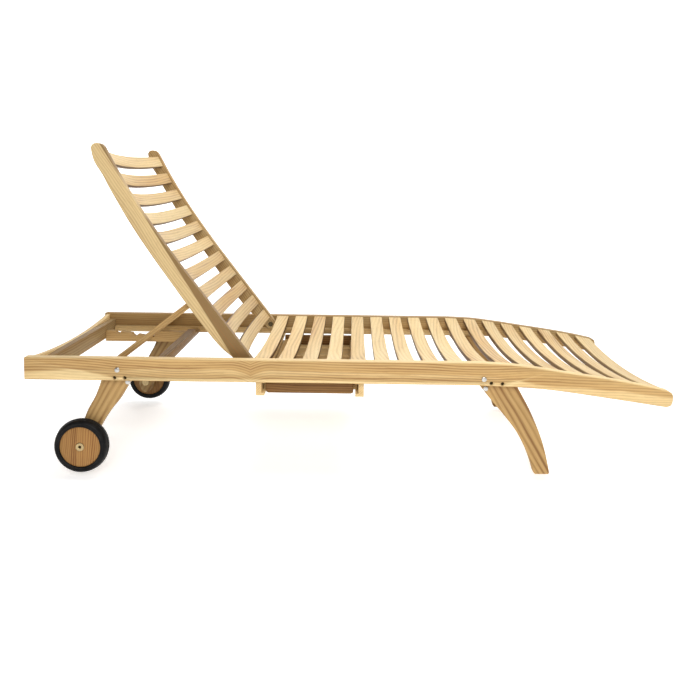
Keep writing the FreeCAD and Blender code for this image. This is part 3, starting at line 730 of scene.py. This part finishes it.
class LOUNGER_OT_fasteners(bpy.types.Operator):
    """Barrel nuts, domed caps, pivot bolts and stub axles"""
    bl_idname = "lounger.fasteners"
    bl_label = "Fasteners"

    def execute(self, context):
        colours = context.scene.lounger_colours
        steel = metal("Stainless steel", colours.bolt_metal, 0.28)
        brass = metal("Hub brass", colours.hub_metal, 0.34)
        bronze = metal("Darkened brass", tint(colours.hub_metal, 0.22), 0.55)
        nuts = []
        for side in (-1, 1):
            for centre in DOWELS:
                profile = [(0.0, 0.3275), (0.0058, 0.3275), (0.0058, 0.3324), (0.0052, 0.3330),
                           (0.0026, 0.3330), (0.0022, 0.3324), (0.0022, 0.3300), (0.0, 0.3300)]
                nuts.append(turned("barrel nut", centre, profile, side, 32, False))
                nuts[-1].data.materials.append(bronze)
            caps = [(item, RAIL_FACE) for item in RAIL_CAPS] + [(item, LEG_FACE) for item in LEG_CAPS]
            for centre, face in caps:
                profile = [(0.0, face + 0.0002), (0.008, face + 0.0002), (0.008, face + 0.0012),
                           (0.0072, face + 0.0024), (0.0052, face + 0.0032), (0.0026, face + 0.0035),
                           (0.0, face + 0.0035)]
                nuts.append(turned("domed cap", centre, profile, side, 40, False))
                nuts[-1].data.materials.append(steel)
        finish_piece(joined(nuts, "leg bolts"), "leg_bolts", "frame", None)
        bolts = []
        axles = []
        for side in (-1, 1):
            profile = [(0.0, 0.259), (0.0078, 0.259), (0.009, 0.2602), (0.009, 0.2654), (0.005, 0.2654),
                       (0.005, 0.2906), (0.0112, 0.2906), (0.012, 0.2914), (0.012, 0.3112), (0.0112, 0.312),
                       (0.0, 0.312)]
            bolts.append(turned("pivot bolt", PIVOT, profile, side, 40, False))
            profile = [(0.0, 0.276), (0.0118, 0.276), (0.013, 0.2772), (0.013, 0.284), (0.007, 0.284),
                       (0.007, 0.312), (0.020, 0.312), (0.020, 0.3156), (0.013, 0.3156), (0.013, 0.3532),
                       (0.0122, 0.354), (0.0056, 0.354), (0.0045, 0.3531), (0.0045, 0.347), (0.0, 0.347)]
            axles.append(turned("stub axle", AXLE, profile, side, 56, False))
            axles[-1].data.materials.append(brass)
            profile = [(0.0, 0.3472), (0.0043, 0.3472), (0.0043, 0.3478), (0.0, 0.3478)]
            axles.append(turned("hub socket", AXLE, profile, side, 24, False))
            axles[-1].data.materials.append(bronze)
        finish_piece(joined(bolts, "pivot bolts"), "pivot_bolts", "frame", bronze)
        finish_piece(joined(axles, "axle bolts"), "axle_bolts", "frame", None)
        return {"FINISHED"}


# ---- moving groups -----------------------------------------------------------------------------

def stile_path():
    """Front edge of a stile from its foot to its top, densely."""
    straight = [STILE_FOOT, STILE_BEND]
    return straight + smooth(STILE_FRONT, 8)[1:]


def front_point(distance):
    """Point and upward direction at a distance along the stile's front edge."""
    path = [Vector(point) for point in stile_path()]
    for start, end in zip(path, path[1:]):
        length = (end - start).length
        if distance <= length:
            direction = (end - start).normalized()
            return start + direction * distance, direction
        distance -= length
    return path[-1], (path[-1] - path[-2]).normalized()


def stile_foot(radius=0.0194, steps=12):
    """Round end of a stile about its pivot, from the back edge to the front edge."""
    start = math.atan2(STILE_BACK[-1][1] - PIVOT[1], STILE_BACK[-1][0] - PIVOT[0]) % (2 * math.pi)
    end = math.atan2(0.609, 0.793) + 2 * math.pi
    foot = []
    for step in range(1, steps + 1):
        angle = start + (end - start) * step / steps
        foot.append((PIVOT[0] + radius * math.cos(angle), PIVOT[1] + radius * math.sin(angle)))
    return foot


class LOUNGER_OT_backrest(bpy.types.Operator):
    """Curved stiles with eleven scooped slats, and the prop's bolts"""
    bl_idname = "lounger.backrest"
    bl_label = "Backrest"

    def execute(self, context):
        sizes = context.scene.lounger_sizes
        low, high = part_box("stile_near")
        outline = smooth(STILE_FRONT) + smooth(STILE_TOP)[1:] + smooth(STILE_BACK)[1:] + stile_foot()
        near = extruded("near stile", upright(without_repeats(outline), low[1]), (0, high[1] - low[1], 0))
        round_over(near, sizes.edge_round * 1.2, 4, 40)
        drill(near, [PIVOT], 0.00505, low[1] - 0.01, high[1] + 0.01)
        far = mirrored(near, "far stile")
        finish_piece(near, "stile_near", "backrest",
                     teak("Stile wood near", tilted(-54), tone=0.90, tan_tone=0.43, lines=1.3,
                          band=(-0.028, 0.004, False, 0.0735, -1.3)))
        # The far stile's lower tone is painted shade.
        finish_piece(far, "stile_far", "backrest", teak("Stile wood far", tilted(-54), heart=0.95, tone=0.72))
        # face paints shade on the back slats' edges and undersides.
        material = teak("Back slat wood", ALONG_Y, heart=0.40, tone=0.83, lines=1.1, ring_width=0.013,
                        face=(0.80, 0.0, 0.60))
        master = scooped_board("back slat", BACK_SLAT_HALF, BACK_SLAT_WIDTH, sizes)
        for index in range(BACK_SLATS):
            point, direction = front_point(BACK_SLAT_START + BACK_SLAT_PITCH * index)
            inward = Vector((-direction.y, direction.x))
            seat = point + inward * 0.005
            angle = math.atan2(direction.y, -direction.x)
            matrix = Matrix.Translation((seat.x, 0, seat.y)) @ Matrix.Rotation(angle, 4, "Y")
            piece = copied(master, "back slat %02d" % (index + 1), matrix)
            finish_piece(piece, "back_slat_%02d" % (index + 1), "backrest", material)
        choose(master)
        bpy.ops.object.delete()
        bolts = []
        for side in (-1, 1):
            profile = [(0.0, 0.2344), (0.0066, 0.2344), (0.0075, 0.2352), (0.0075, 0.2394), (0.004, 0.2394),
                       (0.004, 0.287), (0.0, 0.287)]
            bolts.append(turned("prop bolt", PROP_PIVOT, profile, side, 32, False))
        steel = bpy.data.materials["Stainless steel"]
        finish_piece(joined(bolts, "prop bolts"), "prop_bolts", "backrest", steel)
        return {"FINISHED"}


class LOUNGER_OT_prop(bpy.types.Operator):
    """U-shaped prop: two arms and a crossbar"""
    bl_idname = "lounger.prop"
    bl_label = "Prop"

    def execute(self, context):
        low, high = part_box("prop_arm_near")
        bar_low, bar_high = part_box("prop_crossbar")
        foot = Vector(((bar_low[0] + bar_high[0]) / 2, (bar_low[2] + bar_high[2]) / 2))
        pivot = Vector(PROP_PIVOT)
        along = (pivot - foot).normalized()
        across = Vector((-along.y, along.x))
        half = 0.0095
        outline = []
        for centre, start in ((pivot, math.pi / 2), (foot, -math.pi / 2)):
            for step in range(13):
                angle = start - math.pi * step / 12
                point = centre + along * half * math.cos(angle) + across * half * math.sin(angle)
                outline.append((point.x, point.y))
        near = extruded("near prop arm", upright(outline, low[1]), (0, high[1] - low[1], 0))
        round_over(near, 0.0018, 3, 40)
        drill(near, [PROP_PIVOT], 0.00405, low[1] - 0.01, high[1] + 0.01)
        far = mirrored(near, "far prop arm")
        wood = teak("Prop wood", tilted(38), heart=0.95, tone=0.76)
        finish_piece(near, "prop_arm_near", "prop", wood)
        finish_piece(far, "prop_arm_far", "prop", wood)
        radius = (bar_high[2] - bar_low[2]) / 2
        end = bar_high[1]
        profile = [(0.0, -end), (radius, -end), (radius, 0.0), (radius, end), (0.0, end)]
        bar = turned("prop crossbar", (foot.x, foot.y), profile, 1, 40, False)
        finish_piece(bar, "prop_crossbar", "prop", teak("Crossbar wood", ALONG_Y, heart=0.95, tone=0.76))
        return {"FINISHED"}


class LOUNGER_OT_wheels(bpy.types.Operator):
    """Rubber tyres on wooden discs"""
    bl_idname = "lounger.wheels"
    bl_label = "Wheels"

    def execute(self, context):
        colours = context.scene.lounger_colours
        black = rubber("Tyre rubber", colours.rubber)
        # The far disc's lower tone is painted shade.
        tones = {"near": 0.66, "far": 0.40}
        tyre_half = [(0.0635, 0.0185), (0.0652, 0.0200), (0.0672, 0.0200), (0.0684, 0.0190), (0.0700, 0.0190),
                     (0.0716, 0.0199), (0.0738, 0.0198), (0.0764, 0.0188), (0.0790, 0.0165), (0.0808, 0.0135),
                     (0.0820, 0.0100), (0.0825, 0.0070), (0.0825, 0.0034), (0.0829, 0.0026), (0.0838, 0.0022),
                     (0.0840, 0.0015), (0.0840, 0.0)]
        tyre_profile = [(radius, WHEEL_MIDDLE + offset) for radius, offset in tyre_half]
        tyre_profile += [(radius, WHEEL_MIDDLE - offset) for radius, offset in reversed(tyre_half[:-1])]
        disc_half = [(0.01305, 0.0156), (0.0145, 0.0170), (0.0600, 0.0170), (0.0622, 0.0160),
                     (0.0634, 0.0148)]
        disc_profile = [(radius, WHEEL_MIDDLE + offset) for radius, offset in disc_half]
        disc_profile += [(radius, WHEEL_MIDDLE - offset) for radius, offset in reversed(disc_half)]
        for side, sign in SIDES.items():
            tyre = turned(side + " tyre", AXLE, tyre_profile, sign, 112)
            finish_piece(tyre, "tyre_" + side, "wheel_" + side, black)
            disc = turned(side + " wheel disc", AXLE, disc_profile, sign, 96)
            finish_piece(disc, "wheel_disc_" + side, "wheel_" + side,
                         teak("Wheel disc wood " + side, (0.0, math.radians(86), 0.0), heart=1.4,
                              tone=tones[side], lines=1.6, ring_width=0.006, warm=0.82))
        return {"FINISHED"}


class LOUNGER_OT_tray(bpy.types.Operator):
    """Pull-out tray in its two wooden channels"""
    bl_idname = "lounger.tray"
    bl_label = "Tray"

    def execute(self, context):
        runner_wood = teak("Runner wood", ALONG_Y, heart=0.25, tone=0.96)
        for kind, inward in (("head", 1), ("foot", -1)):
            low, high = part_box("tray_runner_" + kind)
            back = low[0] if inward > 0 else high[0]
            face = back + inward * 0.017
            edge = face + inward * 0.010
            outline = [(back, low[2]), (edge, low[2]), (edge, low[2] + 0.010), (face, low[2] + 0.010),
                       (face, high[2] - 0.010), (edge, high[2] - 0.010), (edge, high[2]), (back, high[2])]
            runner = extruded(kind + " tray runner", upright(outline, low[1]), (0, high[1] - low[1], 0))
            round_over(runner, 0.0014, 2)
            finish_piece(runner, "tray_runner_" + kind, "frame", runner_wood)
        board_wood = teak("Tray board wood", ALONG_X, heart=1.3, tone=0.40, lines=1.3, warm=0.84)
        low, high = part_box("tray_board_near")
        turn = 0.009
        corners = []
        for start, sign in ((low[0] + turn, -1), (high[0] - turn, 1)):
            for step in range(7):
                angle = math.pi / 2 * step / 6
                corners.append((start + sign * turn * math.cos(angle),
                                low[2] + turn - turn * math.sin(angle)))
        outline = [(low[0], high[2])] + corners[:7] + corners[:6:-1] + [(high[0], high[2])]
        near = extruded("near tray board", upright(outline, low[1]), (0, high[1] - low[1], 0))
        round_over(near, 0.002, 3, 40)
        far = mirrored(near, "far tray board")
        finish_piece(near, "tray_board_near", "tray", board_wood)
        finish_piece(far, "tray_board_far", "tray", board_wood)
        start, end = low[0], high[0]
        half, floor = 0.275, 0.250
        cleats = []
        for back, body_edge, tip in ((start + 0.015, start, start - 0.009), (end - 0.015, end, end + 0.013)):
            outline = [(back, floor), (body_edge, floor), (body_edge, floor + 0.001), (tip, floor + 0.001),
                       (tip, floor + 0.017), (body_edge, floor + 0.017), (body_edge, floor + 0.021),
                       (back, floor + 0.021)]
            cleat = extruded("tray cleat", upright(outline, -half), (0, 2 * half, 0))
            cleats.append(round_over(cleat, 0.0004, 1))
        finish_piece(joined(cleats, "tray sides"), "tray_sides", "tray",
                     teak("Cleat wood", ALONG_Y, heart=0.7, tone=0.75))
        boards = []
        spans = [(-0.275, -0.2450), (-0.223, -0.128), (-0.106, -0.011), (0.011, 0.106), (0.128, 0.223),
                 (0.2450, 0.275)]
        for left, right in spans:
            outline = [(start, 0.240), (start, 0.250), (end, 0.250), (end, 0.240)]
            board = extruded("tray floor board", upright(outline, left), (0, right - left, 0))
            boards.append(round_over(board, 0.0012, 2))
        finish_piece(joined(boards, "tray floor"), "tray_floor", "tray",
                     teak("Tray floor wood", ALONG_X, heart=0.8, tone=0.78))
        return {"FINISHED"}


# ---- stage -------------------------------------------------------------------------------------

def pale_floor():
    material, tree = new_material("Studio floor")
    place = add(tree, "ShaderNodeTexCoord").outputs["Object"]
    cloud = add(tree, "ShaderNodeTexNoise", {"Vector": place, "Scale": 0.6, "Detail": 2.0}).outputs["Fac"]
    shade = ramp(tree, cloud, [(0.3, (0.86, 0.86, 0.86)), (0.7, (0.89, 0.89, 0.89))])
    shader = add(tree, "ShaderNodeBsdfPrincipled",
                 {"Base Color": shade, "Roughness": 0.9, "Metallic": 0.0,
                  "Emission Color": (1.0, 1.0, 1.0, 1.0), "Emission Strength": 0.45})
    output = add(tree, "ShaderNodeOutputMaterial")
    tree.links.new(shader.outputs[0], output.inputs[0])
    return material


def area_light(name, place, target, size, power, colour=(1, 1, 1)):
    light = bpy.data.lights.new(name, "AREA")
    light.shape = "RECTANGLE"
    light.size, light.size_y = size
    light.energy = power
    light.color = colour
    obj = bpy.data.objects.new(name, light)
    bpy.context.scene.collection.objects.link(obj)
    obj.location = place
    obj.rotation_euler = (Vector(target) - Vector(place)).to_track_quat("-Z", "Y").to_euler()


class LOUNGER_OT_stage(bpy.types.Operator):
    """Pale floor, soft studio light and the camera"""
    bl_idname = "lounger.stage"
    bl_label = "Stage"

    def execute(self, context):
        deselect()
        floor = trace("studio sweep", [(-14, y, z - 0.001) for y, z in smooth(
            [(-9, 0), (4.2, 0), (6.2, 0.25), (7.6, 1.3), (8.2, 3.0), (8.3, 6.0), (8.3, 9.0)], 8)])
        bpy.ops.mesh.select_all(action="SELECT")
        bpy.ops.mesh.extrude_region_move(TRANSFORM_OT_translate={"value": (28, 0, 0)})
        face_outwards()
        bpy.ops.object.shade_smooth()
        floor.data.materials.append(pale_floor())
        world = bpy.data.worlds.new("Studio")
        world.use_nodes = True
        world.node_tree.nodes["Background"].inputs["Color"].default_value = (1.0, 0.99, 0.98, 1)
        world.node_tree.nodes["Background"].inputs["Strength"].default_value = 0.24
        context.scene.world = world
        context.scene.view_settings.view_transform = "Standard"
        area_light("key light", (0.1, -3.5, 2.2), (0, 0, 0.3), (2.0, 1.4), 82, (1.0, 0.985, 0.96))
        area_light("top light", (0.6, 0.3, 3.4), (0, 0, 0.2), (2.6, 1.6), 88)
        area_light("back wash", (0, 4.5, 5.0), (0, 8.3, 2.2), (9.0, 2.0), 520)
        camera = bpy.data.cameras.new("Camera")
        camera.sensor_width = 36
        camera.lens = 33.341
        camera.shift_y = -0.186
        camera.clip_end = 200
        eye = bpy.data.objects.new("Camera", camera)
        context.scene.collection.objects.link(eye)
        yaw, pitch, roll = -0.00646, 0.06602, -0.01162
        level = Vector((math.sin(yaw), math.cos(yaw), 0))
        forward = level * math.cos(pitch) - Vector((0, 0, math.sin(pitch)))
        right = Vector((math.cos(yaw), -math.sin(yaw), 0))
        down = forward.cross(right)
        tilted_right = math.cos(roll) * right + math.sin(roll) * down
        tilted_down = -math.sin(roll) * right + math.cos(roll) * down
        rotation = Matrix((tilted_right, -tilted_down, -forward)).transposed().to_4x4()
        eye.matrix_world = Matrix.Translation((0.0133, -2.2960, 0.9253)) @ rotation
        context.scene.camera = eye
        return {"FINISHED"}


class LOUNGER_PT_panel(bpy.types.Panel):
    """Steps that build the lounger"""
    bl_label = "Sun Lounger"
    bl_idname = "LOUNGER_PT_panel"
    bl_space_type = "VIEW_3D"
    bl_region_type = "UI"
    bl_category = "Lounger"

    def draw(self, context):
        layout = self.layout
        for group in (context.scene.lounger_sizes, context.scene.lounger_colours):
            for name in group.__annotations__:
                layout.prop(group, name)
        for step in STEPS:
            layout.operator(step.bl_idname)


STEPS = (
    LOUNGER_OT_side_rails,
    LOUNGER_OT_seat_slats,
    LOUNGER_OT_head_boards,
    LOUNGER_OT_rack,
    LOUNGER_OT_legs,
    LOUNGER_OT_fasteners,
    LOUNGER_OT_backrest,
    LOUNGER_OT_prop,
    LOUNGER_OT_wheels,
    LOUNGER_OT_tray,
    LOUNGER_OT_stage,
)
CLASSES = (LoungerSizes, LoungerColours) + STEPS + (LOUNGER_PT_panel,)


def register():
    for item in CLASSES:
        bpy.utils.register_class(item)
    bpy.types.Scene.lounger_sizes = bpy.props.PointerProperty(type=LoungerSizes)
    bpy.types.Scene.lounger_colours = bpy.props.PointerProperty(type=LoungerColours)


def unregister():
    del bpy.types.Scene.lounger_colours
    del bpy.types.Scene.lounger_sizes
    for item in reversed(CLASSES):
        bpy.utils.unregister_class(item)


def main():
    register()
    for step in STEPS:
        group, name = step.bl_idname.split(".")
        getattr(getattr(bpy.ops, group), name)()
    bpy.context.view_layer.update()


if __name__ == "__main__":
    main()
